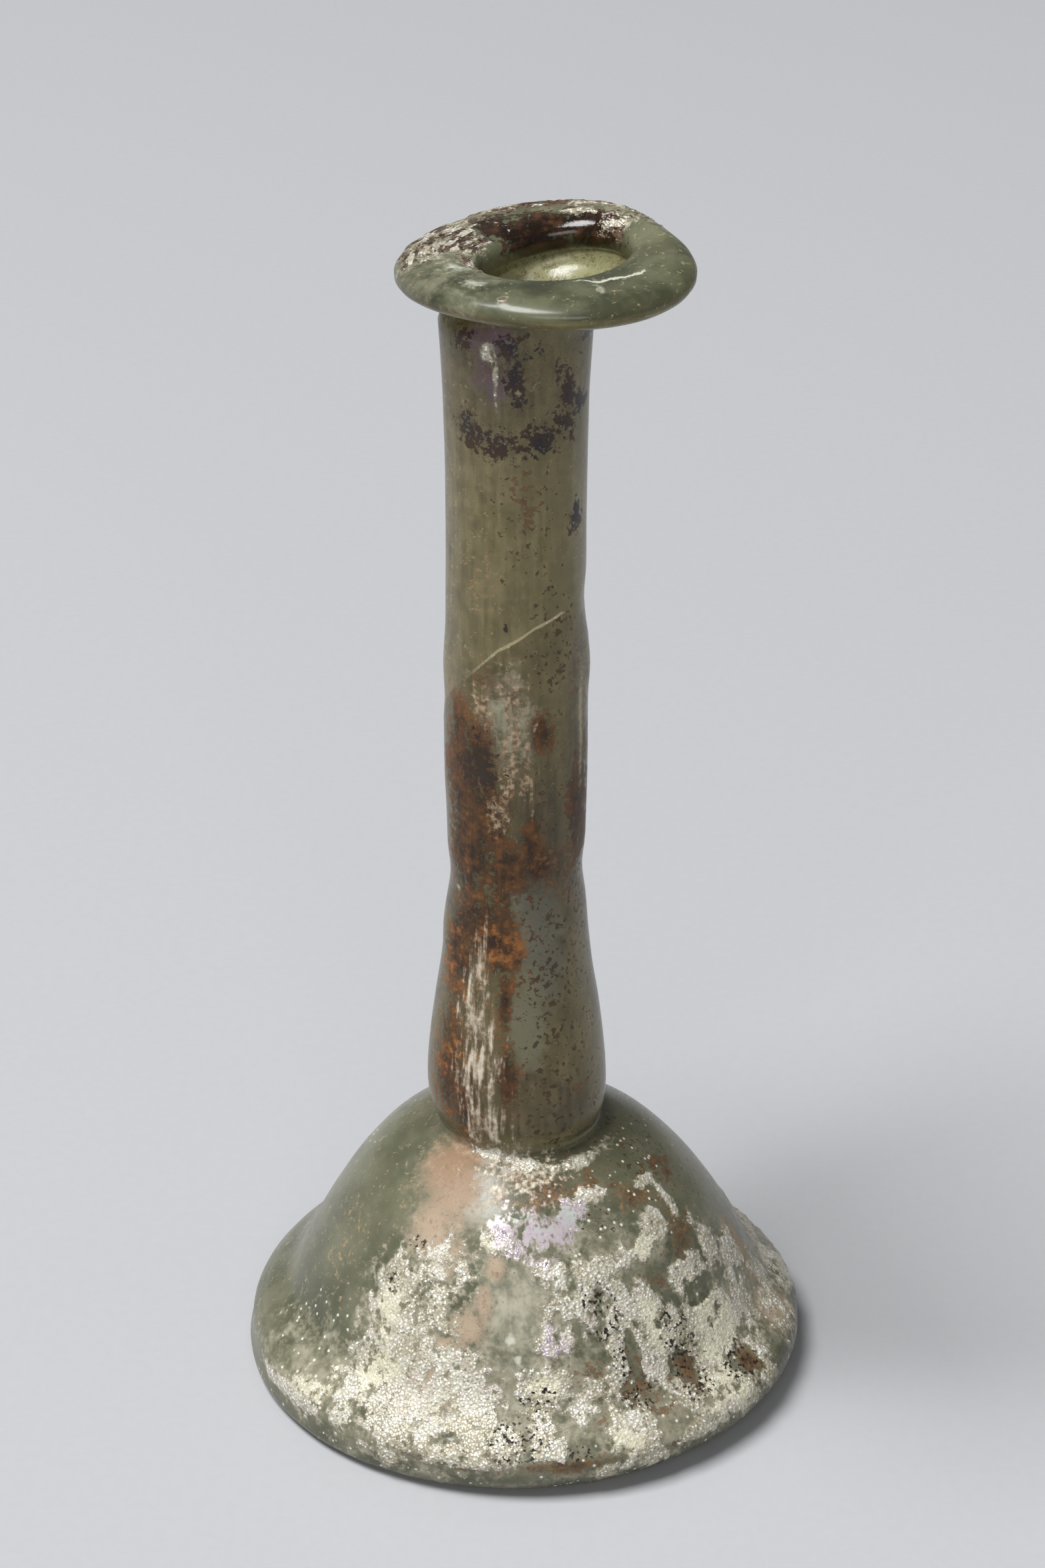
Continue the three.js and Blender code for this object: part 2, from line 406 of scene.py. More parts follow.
# %% The white crust and the gaps in it
CRUST = [
    # (degrees round, climb, half width, half height)
    (-38, 20, 10, 5), (-30, 21.5, 10, 5), (-24, 25.5, 9, 3), (-38, 14, 10, 4.5), (-25, 13, 11, 6),
    (-32, 9.5, 14, 4.5), (-14, 11, 8, 5.5), (-18, 7.5, 12, 3), (-52, 6, 6, 2), (-62, 4.6, 9, 1),
    (-28, 5, 5, 2), (-6, 7, 5, 2.5), (4, 13.5, 8, 2.2), (9, 11, 9, 1.6), (5, 8, 4, 2), (8, 19, 6, 2.4),
    (9, 25.5, 5, 1.6), (10, 22.5, 5, 2.5), (18, 22.5, 4, 4), (24, 25.8, 9, 1.3), (28, 21, 5, 4),
    (24, 16, 4, 5), (18, 12.5, 5, 2), (35, 20, 5, 3), (34, 14.5, 4, 5), (34, 26, 7, 1.3),
    (42, 26.7, 8, 1.7), (51, 27.5, 5, 1.7), (42, 14.5, 5, 5), (50, 21.5, 4, 3), (57, 21, 5, 2.5),
    (56, 13.6, 10, 4), (50, 15, 5, 3.4), (50, 9, 6, 2), (61, 8.5, 6, 2), (24, 7.5, 6, 2.6),
    (38, 9, 5, 2), (39, 6, 8, 1.6), (53, 6, 10, 1.7), (18, 4, 4, 1), (28, 4, 4, 1), (64, 28.5, 2.5, 2.6),
    (68, 22, 3, 4), (71, 14, 5, 4), (80, 8, 6, 3), (78, 18, 5, 3), (88, 12, 6, 3), (98, 8, 8, 3),
    (106, 15, 6, 3), (50, 11.6, 6, 3), (-9, 29.4, 7, 1.2), (30, 32.6, 9, 0.6), (60, 31.4, 8, 0.4),
    (2, 35.6, 12, 0.4), (40, 35.2, 26, 0.4), (-20, 36.6, 14, 0.8), (120, 12, 14, 5), (165, 9, 16, 4),
    (215, 14, 12, 5), (-22, 149.3, 5, 1.2), (-15, 145.5, 2, 3.4), (-115, 164.6, 28, 3.6),
    (-92, 162.6, 12, 2), (-70, 168.4, 18, 1.1), (165, 161.5, 50, 2.4), (132, 167.6, 13, 2.6),
    (168, 166.6, 12, 0.9), (-20, 161.6, 2.5, 0.5),
]
CLEAR = [
    (17, 16.5, 6, 2.6), (33, 7.5, 4, 2.6), (-4, 21, 8, 5), (30, 29.5, 14, 2.2), (-72, 22, 18, 14),
    (55, 18.6, 6, 1.6), (48, 24, 9, 1.2), (-5, 4, 20, 0.6), (-138, 166.6, 8, 1.6), (75, 30, 9, 5),
    (41, 12, 3.4, 3), (58, 8.6, 5, 1.6), (28, 15.4, 2, 2.6),
]
CREAM = [
    (57, 13.6, 10, 4.2), (43, 26.7, 8, 1.6), (53, 18.6, 4, 3), (22, 7, 4, 1.6), (50, 8, 8, 2.4),
    (51, 11.8, 4, 2.4), (5, 13.6, 5, 1.4), (-38, 12, 6, 3), (-40, 19, 5, 4), (36, 18, 3, 4),
    (-9, 29.4, 6, 1), (-52, 8, 8, 2.6),
]
PORES = [
    (25, 14.8, 3, 3), (41, 11.8, 5, 3), (58, 8.6, 5, 2), (22, 21, 7, 4), (42, 15, 6, 6), (43, 9.6, 5, 2),
    (56, 9, 7, 2.2), (3, 12, 5, 2), (-2, 8, 8, 2.6), (28, 10.5, 5, 1.5), (11, 6.6, 4, 1),
    (-42, 22.4, 4, 1.6), (-38, 27.4, 4, 0.8),
]

# %% Thin films, and the painted sheen
FILM = [
    (-52, 9, 23, 5), (74, 13, 12, 6), (0, 12, 34, 9), (36, 8, 24, 4), (0, 22, 20, 8), (34, 26, 20, 4),
    (-30, 14, 20, 14), (8, 30, 24, 3.4), (-110, 164, 44, 5), (-66, 161, 34, 4), (-42, 165.5, 16, 3),
    (165, 163, 60, 4), (150, 14, 80, 8), (-6, 100, 24, 7),
]
# The sheen patches are painted highlights on the shoulder, pearly with a tint of iridescence, put into the
# colour.
PAINTED_SHEEN = [(4, 30.3, 15, 3), (-7, 30.6, 7, 1.7), (20, 31.6, 9, 1.6), (8, 18.6, 6, 2.4)]
BLOOM = [
    (2, 98, 14, 6), (-6, 93, 12, 6), (8, 92, 8, 5), (-5, 103, 16, 5), (-14, 87, 10, 4), (-26, 101, 12, 3),
]
# The streak is white striated crust on the lower neck, and partly a painted highlight where light would
# gleam along it.
STREAK_AND_SHEEN = [
    (-30, 64, 10, 6), (-31, 57, 15, 7), (-26, 49, 18, 7), (-21, 41, 17, 6), (-8, 37, 26, 2),
    (0, 35.2, 30, 2), (-10, 33.6, 9, 1.4),
]
VIOLET = [(-24, 151.4, 30, 3.4), (-20, 146, 22, 5)]
COOL = [(20, 67, 26, 12), (8, 56, 18, 8), (2, 74, 10, 3)]

# %% Soil and stains
SOIL = [
    (-30, 33.4, 15, 4.5), (-33, 28.6, 8, 3), (-26, 27, 8, 2.4), (-9, 26.6, 4, 1.6), (-16, 19.6, 6, 2.6),
    (-21, 17.4, 4, 1.2), (-12, 22.6, 3, 2.6), (-22, 12, 8, 3), (84, 16, 6, 6), (80, 9, 8, 3),
    (172, 21.4, 14, 1.3), (161, 23.6, 7, 1.1), (190, 17, 10, 1.4), (199, 15, 6, 1), (-40, 34.6, 18, 3),
    (-34, 30, 10, 4),
]
RUST = [
    (-48, 90, 26, 10), (-30, 94, 18, 6), (-42, 80, 30, 10), (-20, 86, 20, 8), (-8, 78, 20, 6),
    (-32, 70, 32, 7), (-18, 68, 22, 7), (-1, 66, 9, 3), (-52, 65, 18, 7), (-8, 60, 7, 5),
    (-50, 48, 16, 9), (-6, 49, 8, 6), (-34, 44, 12, 8), (20, 98, 11, 2.8), (-52, 98, 10, 4),
    (12, 83, 9, 4), (66, 86, 20, 10), (20, 79, 14, 3), (150, 70, 30, 20), (180, 163, 30, 2),
    (38, 14.5, 2, 3), (42, 11.4, 3, 3), (59, 9.8, 2.4, 2.6), (59, 8.4, 3, 2), (62, 26, 5, 3),
    (50, 31, 9, 1.2), (24, 14, 2.2, 3), (8, 5.2, 10, 0.9), (14, 33, 22, 0.8),
]
DIRT = [
    (18, 34.2, 60, 1.8), (10, 5.4, 18, 1.4), (36, 5, 16, 1), (66, 26.6, 6, 2.6), (74, 31, 14, 4),
    (58, 24, 14, 3), (40, 23, 15, 3), (8, 32.2, 5, 1), (44, 32.6, 8, 0.7), (30, 12, 26, 7),
    (34, 79, 24, 9), (46, 45, 9, 4), (70, 100, 24, 16), (-20, 5, 30, 1), (5, 137.2, 62, 2.4),
    (10, 130, 20, 7), (0, 147, 50, 4), (-30, 105, 40, 5), (42, 11.6, 6, 3.6), (58, 8.6, 7, 2.6),
    (62, 28, 7, 2.4), (48, 31, 8, 1.6), (26, 14.4, 4, 3),
]
DARK = [
    (-42, 138.4, 12, 2.6), (-10, 137.3, 32, 2.5), (20, 137.8, 22, 2.5), (42, 139, 15, 2.8),
    (60, 141, 14, 2.2), (-2, 146, 9, 3.2), (3, 143.4, 8, 1.6), (-44, 150.4, 10, 2.2), (10, 149.4, 15, 1),
    (32, 147, 7, 1.2), (45, 143.6, 7, 3.2), (-8, 112.5, 1.8, 1.3), (58, 126, 8, 2.4), (-30, 92.5, 16, 4.4),
    (70, 151, 18, 2.4), (-4, 150.6, 12, 1.6), (-175, 169.4, 50, 4.6), (148, 170, 26, 3.6),
    (-146, 167.8, 26, 4.4), (-118, 163.4, 18, 1.1), (-100, 165.4, 12, 0.9), (170, 170.6, 66, 1.3),
    (-70, 171.6, 40, 0.5),
]

# %% Specks, drops, pale marks and painted glints
# Most pale marks are white beads, drips and scratches; the mark by the dent at 73.4 mm and the tall strip at
# 63 degrees are painted highlights.
PALE_MARKS_AND_GLINTS = [
    (-4, 18.8, 1.7, 1), (-2, 16.6, 1.6, 0.8), (2, 144.2, 3, 0.6), (-38, 163.6, 12, 1), (-62, 166, 12, 2),
    (-7, 157.2, 1.5, 0.5), (19, 163.8, 2.6, 2), (-40, 144.5, 6, 0.4), (-60, 73.4, 6, 0.6), (63, 98, 4.5, 12),
]
OCHRE = [(-65, 22, 26, 14), (-50, 31, 14, 6), (80, 20, 16, 12), (-30, 120, 60, 14), (20, 46, 60, 8)]
DROPLETS = [
    (-30, 4, 60, 5), (40, 5, 50, 5), (-58, 12, 20, 6), (34, 30, 40, 6), (66, 14, 20, 10), (0, 3, 90, 2),
    (70, 33, 44, 3), (180, 30, 90, 6),
]
FLECKS = [
    (24, 64, 34, 20), (34, 80, 26, 11), (10, 129, 22, 8), (34, 110, 20, 8), (30, 44, 30, 10),
    (60, 76, 24, 16), (66, 32, 34, 4),
]

# Some of these patches are painted light: the sheen, part of the streak and two of the pale marks.
PLACES = {
    "crust": CRUST,
    "clear": CLEAR,
    "cream": CREAM,
    "pores": PORES,
    "film": FILM,
    "painted_sheen": PAINTED_SHEEN,
    "bloom": BLOOM,
    "streak_and_sheen": STREAK_AND_SHEEN,
    "violet": VIOLET,
    "cool": COOL,
    "soil": SOIL,
    "rust": RUST,
    "dirt": DIRT,
    "dark": DARK,
    "pale": PALE_MARKS_AND_GLINTS,
    "ochre": OCHRE,
    "droplets": DROPLETS,
    "flecks": FLECKS,
}
print(f"{sum(len(patches) for patches in PLACES.values())} patches of weathering")

# %% The climb of each point
LIP_CLIMB = 160
MOUTH_CLIMB = 170
MOUTH_MARGIN = 0.3

turned_angle = np.degrees(np.arctan2(turned[:, 0], -turned[:, 1]))
turned_reach = np.hypot(turned[:, 0], turned[:, 1])
inside = marks_of(flask, "inside")
over_lip = (turned[:, 2] > LIP_HEIGHT) & (inside < 0.5)
at_mouth = (turned_reach < MOUTH_RADIUS + MOUTH_MARGIN) & (turned[:, 2] > flare_start)
down_mouth = (inside > 0.5) | at_mouth
climb_of = np.where(over_lip, LIP_CLIMB + LIP_REACH - turned_reach, turned[:, 2])
climb_of = np.where(down_mouth, MOUTH_CLIMB + np.clip(LIP_HEIGHT - turned[:, 2], 0, None), climb_of)
print(f"the climb goes from {climb_of.min():.1f} to {climb_of.max():.1f} mm")


# %% Helpers that give each point its values
FAR_OUT = -2  # the lowest value, of points far from every patch


def patch_value(across, along, patches):
    """The highest value of the patches at each place: 1 in a patch's middle, 0 at its edge."""
    best = np.full(len(across), float(FAR_OUT))
    for middle, level, half_width, half_height in patches:
        round_by = (across - middle + 180) % 360 - 180
        distance = np.hypot(round_by / half_width, (along - level) / half_height)
        best = np.maximum(best, 1 - distance)
    return best


def above_line(across, along, line):
    """How far each place lies above a line of (degrees, climb) drawn round the flask."""
    return along - np.interp(across, *zip(*line))


def rough(points, size, octaves=4, seed=0.0, upright=1.0):
    """Noise from about -1 to 1, with lumps of the size in millimetres and the height stretched."""
    shift = Vector((seed * 17.3, seed * 5.1, seed * 9.7))
    scaled = points / (size, size, size * upright)
    return np.array([noise.fractal(Vector(p) + shift, 0.9, 2.1, octaves) for p in scaled])


def keep(name, values):
    """Keeps one value for each point on the mesh, for the material to read."""
    flask.data.attributes.new(name, "FLOAT", "POINT").data.foreach_set("value", values.astype(np.float32))


# %% Value of each kind of weathering at each point
RAGGEDNESS = {"soil": 0.15, "rust": 0.3, "dark": 0.5, "film": 0.4, "dirt": 0.3, "painted_sheen": 0.6}
CRUST_CAP = 0.36  # keeps a patch's middle low enough for the noise to break it up

values = {name: patch_value(turned_angle, climb_of, patches) for name, patches in PLACES.items()}
ragged = rough(placed, 4, 4, seed=1)
flaky = rough(placed, 1.5, 4, seed=2, upright=1.8)
crust_of = np.minimum(values["crust"], CRUST_CAP) + 0.45 * ragged + 0.6 * flaky
gaps = np.clip(values.pop("clear") + 0.7 * ragged + 0.3 * flaky, 0, 1)
crust_of = np.minimum(crust_of, 0.3 - 2.5 * gaps)
values["crust"] = crust_of
for name, raggedness in RAGGEDNESS.items():
    values[name] = values[name] + raggedness * ragged
for name, value in values.items():
    keep(name, np.clip(value, FAR_OUT, 1))
keep("climb", climb_of)
print(f"crust covers {np.mean(crust_of[inside < 0.5] > 0):.0%} of the outside's points")

# %% [markdown]
# ## A crack and a scratch
# A crack runs round the front of the neck, rising to the right. Its height is a curve of the angle, and
# each point keeps how far it lies above it, so that relief and a painted highlight along its edge can
# both follow the same line. A fine scratch on top of the lip is kept in the same way.

# %% Distance above the crack and the scratch
CRACK = [(-90, 97), (-45, 104.5), (-15, 109.5), (0, 111), (15, 112.6), (40, 114), (70, 112), (110, 105)]
# Between these angles the crack's edge gets a painted highlight, a pale line put into the colour.
CRACK_PAINTED_HIGHLIGHT = (-56, -8, 36, 46)  # degrees between which its edge catches the light
SCRATCH = [(-20, 167.6), (14, 167), (19, 165.7), (30, 165.2), (43, 164.8), (60, 165)]
SCRATCH_REACH = [(30, 165.4, 20, 6)]

above_crack_of = above_line(turned_angle, turned[:, 2], CRACK)
keep("above_crack", np.clip(above_crack_of, -20, 60))
keep("above_scratch", np.clip(above_line(turned_angle, climb_of, SCRATCH), -9, 9))
keep("scratch", patch_value(turned_angle, climb_of, SCRATCH_REACH))
glow_start, glow_full, glow_fade, glow_end = CRACK_PAINTED_HIGHLIGHT
fade_in = smooth_step(turned_angle, glow_start, glow_full)
fade_out = 1 - smooth_step(turned_angle, glow_fade, glow_end)
keep("crack_painted_highlight_span", fade_in * fade_out)
print(f"{np.count_nonzero(np.abs(above_crack_of) < 0.5)} points lie within half a millimetre of the crack")

# %% [markdown]
# ## Relief
# The crust stands some tenths of a millimetre proud, in flakes with bubbles on them. The glass itself
# is wavy from the blowing, and the neck has a few soft dents that break its outline. A bump alone would
# leave the outline smooth, so the points themselves are moved along their normals.

# %% Heights of the relief, in millimetres
CRUST_THICKNESS = 0.15
BUBBLE_HEIGHT = 0.1
BUBBLE_SIZE = 0.9
WAVINESS = 0.1
WAVE_SIZE = 12
CRACK_STEP = 0.14
CRACK_REACH = 12  # how far from the crack the lower side still stands proud
CRACK_SIDE = 100  # degrees to either side of the front
DENTS = [
    # (degrees round, height, half width, half height, depth)
    (-80, 73.5, 60, 5, 0.4),
    (85, 74.5, 50, 5, 0.4),
    (84, 113, 40, 5, 0.35),
    (-84, 104, 40, 6, -0.25),
    (84, 104, 40, 5, -0.3),
    (-80, 66, 50, 4, -0.2),
]

# %% Measure the way that the skin faces
for vertex, place in zip(flask.data.vertices, placed * MM):
    vertex.co = place
normals = np.empty(len(placed) * 3, np.float32)
flask.data.vertices.foreach_get("normal", normals)
normals = normals.reshape(-1, 3)
print(f"{np.count_nonzero(normals[:, 2] < -0.9)} points face straight down")


# %% Raise the crust, its bubbles and the waves of the glass
DOME_REACH = 0.55  # of the bubbles' size


def bubbles(points, size):
    """Domes scattered over the surface: 1 at the top of a dome, 0 between them."""
    near = np.array([noise.voronoi(Vector(p) / size, distance_metric="DISTANCE")[0][0] for p in points])
    return np.clip(1 - near / DOME_REACH, 0, 1) ** 0.6


raised = np.zeros(len(placed))
outside = inside < 0.5
raised[outside] = WAVINESS * rough(placed[outside], WAVE_SIZE, 2, seed=3)
layer = smooth_step(crust_of, 0, 0.12)
crusted = (layer > 0) & outside
crust_height = CRUST_THICKNESS + BUBBLE_HEIGHT * bubbles(placed[crusted], BUBBLE_SIZE)
raised[crusted] += layer[crusted] * crust_height
print(f"the crust is raised at {np.count_nonzero(crusted)} points")

# %% Press in the dents and step the glass at the crack
for *patch, depth in DENTS:
    raised -= depth * smooth_step(patch_value(turned_angle, turned[:, 2], [patch]), 0, 1)
near_crack = np.clip(1 - np.abs(above_crack_of) / CRACK_REACH, 0, 1)
near_crack *= (np.abs(turned_angle) < CRACK_SIDE) * outside
raised += CRACK_STEP * near_crack * (1 - smooth_step(above_crack_of, -0.8, 0.8))
shaped = (placed + normals * raised[:, None]) * MM
flask.data.vertices.foreach_set("co", shaped.astype(np.float32).ravel())
flask.data.update()
only(flask)
bpy.ops.object.shade_smooth()
triangles = sum(len(face.vertices) - 2 for face in flask.data.polygons)
print(f"the relief reaches {raised.max():.2f} mm, and the skin has {triangles} triangles")

# %% [markdown]
# ## Materials as arithmetic
# A material is a sum worked out at every point of the surface. Its nodes could be placed by hand, but
# hundreds of them are easier to read as arithmetic. So a small class lets them be written that way:
# adding or multiplying two values adds the Math node that does it.

# %% A value that a shader works out
class Value:
    """A number that a shader works out. Arithmetic on it adds Math nodes."""

    def __init__(self, shader, socket):
        self.shader = shader
        self.socket = socket

    def math(self, operation, *values):
        return self.shader.node("ShaderNodeMath", {"operation": operation}, dict(enumerate(values)))

    def __add__(self, other):
        return self.math("ADD", self, other)

    def __sub__(self, other):
        return self.math("SUBTRACT", self, other)

    def __mul__(self, other):
        return self.math("MULTIPLY", self, other)

    def __rsub__(self, other):
        return self.math("SUBTRACT", other, self)

    __radd__ = __add__
    __rmul__ = __mul__


# %% A material's nodes, made one call at a time
class Shader:
    """A material whose nodes come from one method, and short names for the ones used most."""

    def __init__(self, name):
        self.material = bpy.data.materials.new(name)
        self.material.use_nodes = True
        self.tree = self.material.node_tree
        self.tree.nodes.clear()
        self.place = self.node("ShaderNodeTexCoord", output="Object")

    def node(self, kind, settings=None, inputs=None, output=0):
        """A node of a kind, with its settings, and with numbers or links for its inputs."""
        made = self.tree.nodes.new(kind)
        for name, setting in (settings or {}).items():
            setattr(made, name, setting)
        for name, value in (inputs or {}).items():
            if isinstance(value, Value):
                self.tree.links.new(value.socket, made.inputs[name])
            else:
                made.inputs[name].default_value = value
        return Value(self, made.outputs[output]) if made.outputs else None

    def mark(self, name):
        """A value kept on the mesh's points."""
        return self.node("ShaderNodeAttribute", {"attribute_name": name}, output="Fac")

    def axis(self, index):
        """The place along X, Y or Z, in metres."""
        return self.node("ShaderNodeSeparateXYZ", None, {"Vector": self.place}, output=index)

    def stretched(self, x, y, z):
        """The place with its axes scaled, which draws a pattern out along an axis scaled down."""
        return self.node("ShaderNodeMapping", None, {"Vector": self.place, "Scale": (x, y, z)})

    def noise(self, size, detail=4, roughness=0.55, place=None, seed=0):
        """Noise about 0, mostly from -0.5 to 0.5, with lumps of the size in millimetres."""
        inputs = {
            "Vector": place or self.place,
            "W": seed,
            "Scale": 1 / (size * MM),
            "Detail": detail,
            "Roughness": roughness,
        }
        return (self.node("ShaderNodeTexNoise", {"noise_dimensions": "4D"}, inputs) - 0.5) * 3

    def cells(self, size, output="Distance"):
        """Cells of the size in millimetres: the distance from each cell's middle, or its own shade."""
        inputs = {"Vector": self.place, "Scale": 1 / (size * MM)}
        return self.node("ShaderNodeTexVoronoi", None, inputs, output=output)

    def step(self, value, low, high):
        """0 below low, 1 above high and a smooth rise between them."""
        inputs = {"Value": value, "From Min": low, "From Max": high}
        return self.node("ShaderNodeMapRange", {"interpolation_type": "SMOOTHSTEP"}, inputs)

    def line(self, value, low, high, blur):
        """1 between low and high."""
        return self.step(value, low - blur, low + blur) * (1 - self.step(value, high - blur, high + blur))

    def mix(self, factor, first, second):
        """The first colour where the factor is 0 and the second where it is 1."""
        inputs = {"Factor": factor, 6: first, 7: second}
        return self.node("ShaderNodeMix", {"data_type": "RGBA"}, inputs, output=2)

    def bump(self, relief, depth, strength=1.0, under=None):
        """A normal turned by a relief whose 0 to 1 is the depth in millimetres."""
        inputs = {"Height": relief, "Distance": depth * MM, "Strength": strength}
        if under is not None:
            inputs["Normal"] = under
        return self.node("ShaderNodeBump", None, inputs)


# %% Colours as a screen shows them
def colour(*shades):
    """A screen colour, red, green and blue from 0 to 255, as the linear values that a shader takes."""
    return (*[((shade / 255 + 0.055) / 1.055) ** 2.4 for shade in shades], 1)


# %% [markdown]
# ## The weathered glass
# Two surfaces share the skin. One is glass: tinted olive, slightly rough and clear. The other is
# everything that lies on it. One surface whose clearness varies would be simpler, but an export keeps
# clearness as one plain value, so the two are mixed by how much of the glass is covered. The pattern
# comes from noise at five sizes, from the broad clouds in the glass to the finest grain of the crust.

# %% Noise at several sizes
s = Shader("weathered_glass")
climb = s.mark("climb")
broad = s.noise(8, 4, seed=1)
blotch = s.noise(2.2, 8, 0.66, seed=2)
grain = s.noise(0.7, 5, 0.62, seed=3)
fine = s.noise(0.25, 3, 0.6, seed=4)
flake = s.noise(0.6, 3, 0.5, seed=6)
streaks = s.noise(0.7, 5, 0.62, place=s.stretched(1, 1, 0.1), seed=5)
round_lip = {"X": s.axis(0) * 0.25, "Y": s.axis(1) * 0.25, "Z": climb * MM}
round_lip = s.node("ShaderNodeCombineXYZ", None, round_lip)
rings = s.noise(0.8, 5, 0.62, place=round_lip, seed=7)
print(f"{len(s.tree.nodes)} nodes for the noise")

# %% Bubbles and drops
# The bubble cells carry painted glints: dots put into the crust's colour, almost white or pastel.
BUBBLE_CELL = 0.42  # the dots that glint on the crust
DROP_CELL = 1.1

bubble = s.cells(BUBBLE_CELL)
glint = s.cells(BUBBLE_CELL, output="Color")
drop = s.cells(DROP_CELL)
drop_shade = s.cells(DROP_CELL, output="Color")

# %% The regions of the flask, by climb
on_neck = s.step(climb, 33, 42)
low_neck = 1 - s.step(climb, 120, 130)
on_lip = s.step(climb, 152, 155)
lip_top = s.step(climb, 157.6, 160)
in_mouth = s.step(climb, 170.8, 172) * (1 - s.step(climb, 184, 200))
below_fold = s.step(climb, 171.3, 171.9)
above_crack = s.mark("above_crack")

# %% [markdown]
# ## The haze in the glass
# Under the stains the glass itself is dull and cloudy. It is grey-green on the body, brownish olive on
# the neck, paler above the crack, and clearer and greener on the lip. Two of these tints are painted
# light: the lower half of the lip is painted lighter and yellower, as if lit through, and the inside of
# the mouth is painted bright, as light coming down the neck would make it, with dark sandy grains on it.

# %% Colour the haze
haze = s.mix(s.step(broad + blotch * 0.6, -0.5, 0.5), colour(106, 109, 88), colour(130, 130, 108))
clouds = s.step(streaks * 0.6 + blotch * 0.7, -0.5, 0.5)
warm = s.mix(clouds, colour(66, 56, 37), colour(122, 106, 76))
clouds = s.step(streaks * 0.5 + blotch * 0.6 + broad * 0.3, -0.5, 0.5)
pale = s.mix(clouds, colour(84, 74, 50), colour(138, 125, 93))
warm = s.mix(s.step(above_crack, -0.3, 0.3), warm, pale)
warm = s.mix(s.step(s.mark("cool") + blotch * 0.5, 0, 0.5), warm, colour(118, 115, 100))
violet = s.step(s.mark("violet") + blotch * 0.9 + grain * 0.3, 0, 1)
warm = s.mix(violet, warm, colour(122, 96, 118))
haze = s.mix(on_neck, haze, warm)
# Painted glow: the lower half of the lip is lighter and yellower, as light shining through its glass.
lip_with_painted_glow = s.mix(s.step(blotch + grain * 0.5, -0.4, 0.5), colour(94, 88, 54), colour(138, 127, 86))
haze = s.mix(on_lip, haze, lip_with_painted_glow)
rim_top = s.mix(s.step(broad + blotch * 0.6, -0.5, 0.5), colour(62, 69, 51), colour(108, 112, 87))
haze = s.mix(lip_top, haze, rim_top)
# Painted light: the inside of the mouth is bright pale olive, as light coming through the neck would make
# it; the darker colour is sandy grains.
sandy = s.step(grain * 0.8 + fine * 0.8 + blotch * 0.4, -0.1, 0.6)
haze = s.mix(in_mouth, haze, s.mix(sandy, colour(142, 141, 102), colour(84, 70, 43)))
print(f"{len(s.tree.nodes)} nodes with the haze")

# %% [markdown]
# ## The masks
# A mask is 1 where its layer lies and 0 elsewhere. Each starts from the values kept on the points, and
# noise breaks its edge: coarse noise for stains that crept, fine noise for crust that flaked.

# %% Masks of films and stains
film = s.step(s.mark("film") + blotch * 0.8 + grain * 0.5, -0.3, 0.7) * (1 - on_lip * 0.6)
thin = s.step(s.mark("crust") + blotch * 0.4 + grain * 0.6, -0.4, 0.15)
rust = s.step(s.mark("rust") + streaks * 0.6 + blotch * 0.9 + grain * 0.8, -0.35, 0.45)
bloom = s.step(s.mark("bloom") + streaks * 1.3 + grain * 0.9, 0.05, 1.05)
dirt = s.step(s.mark("dirt") + blotch * 1.1 + grain * 1.1, 0.45, 1)
dark_edge = (grain * 1.5 + fine * 0.5) * (1 - on_lip * 0.5)
dark = s.step(s.mark("dark") + blotch * 0.8 + dark_edge, 0.1 - on_lip * 0.15, 0.45)
dark = dark * (1 - below_fold * 0.85)
soil = s.step(s.mark("soil") + blotch * 0.4 + grain * 0.4 + fine * 0.2, -0.35, 0.6)
# Streak mask: real white crust and a painted highlight together.
streak_and_sheen = s.step(s.mark("streak_and_sheen") + streaks * 1.2 + grain * 0.4, 0, 0.95)

# %% Masks of the crust and what lies on it
crust = s.step(s.mark("crust") + blotch * 0.2 + grain * 0.65 + fine * 0.25, -0.04, 0.1)
cream = s.step(s.mark("cream") + blotch * 0.8 + grain * 0.8 + fine * 0.2, 0.1, 0.35)
pores = s.step(flake, 0.14, 0.3) * s.step(s.mark("pores") + blotch * 0.5, -0.1, 0.3)
# Painted sheen: where a highlight with an iridescent tint is put into the colour.
painted_sheen = s.step(s.mark("painted_sheen") + blotch * 0.7 + streaks * 0.9, 0.15, 0.7)
# Painted glints: bright dots where light would catch the crust's bubbles.
painted_glints = (1 - s.step(bubble, 0.2, 0.5)) * s.step(glint, 0.4, 0.6)

# %% Masks of specks, drops and lines
fleck = s.step(s.mark("flecks") * 0.25 + blotch * 0.45 + grain * 1.1, 0.29, 0.41)
speck = s.step(grain + fine * 0.4 + drop_shade * 0.4, 0.5, 0.75)
ochre = s.step(s.mark("ochre") * 0.4 + blotch * 0.4 + grain * 0.8 + fine * 0.3, 0.45, 0.7)
# Pale marks, two of them painted highlights.
pale_mark_and_glint = s.step(s.mark("pale") + grain * 0.7 + blotch * on_lip * 0.6, 0, 0.8 + on_lip * 0.4)
where_drops_lie = s.step(s.mark("droplets") + blotch * 0.5, -0.1, 0.3)
droplet = (1 - s.step(drop, 0.12, 0.26)) * s.step(drop_shade, 0.48, 0.56) * where_drops_lie
where_scratched = s.step(s.mark("scratch") + grain * 0.6, 0, 0.4)
scratch = s.line(s.mark("above_scratch") + grain * 0.5 + blotch * 0.7, -0.25, 0.25, 0.15) * where_scratched
# Painted highlight: a pale line along the crack's edge, where it would catch the light.
crack_painted_highlight = s.line(above_crack + grain * 0.08, -0.18, 0.22, 0.08) * s.mark("crack_painted_highlight_span")
print(f"{len(s.tree.nodes)} nodes with the masks")

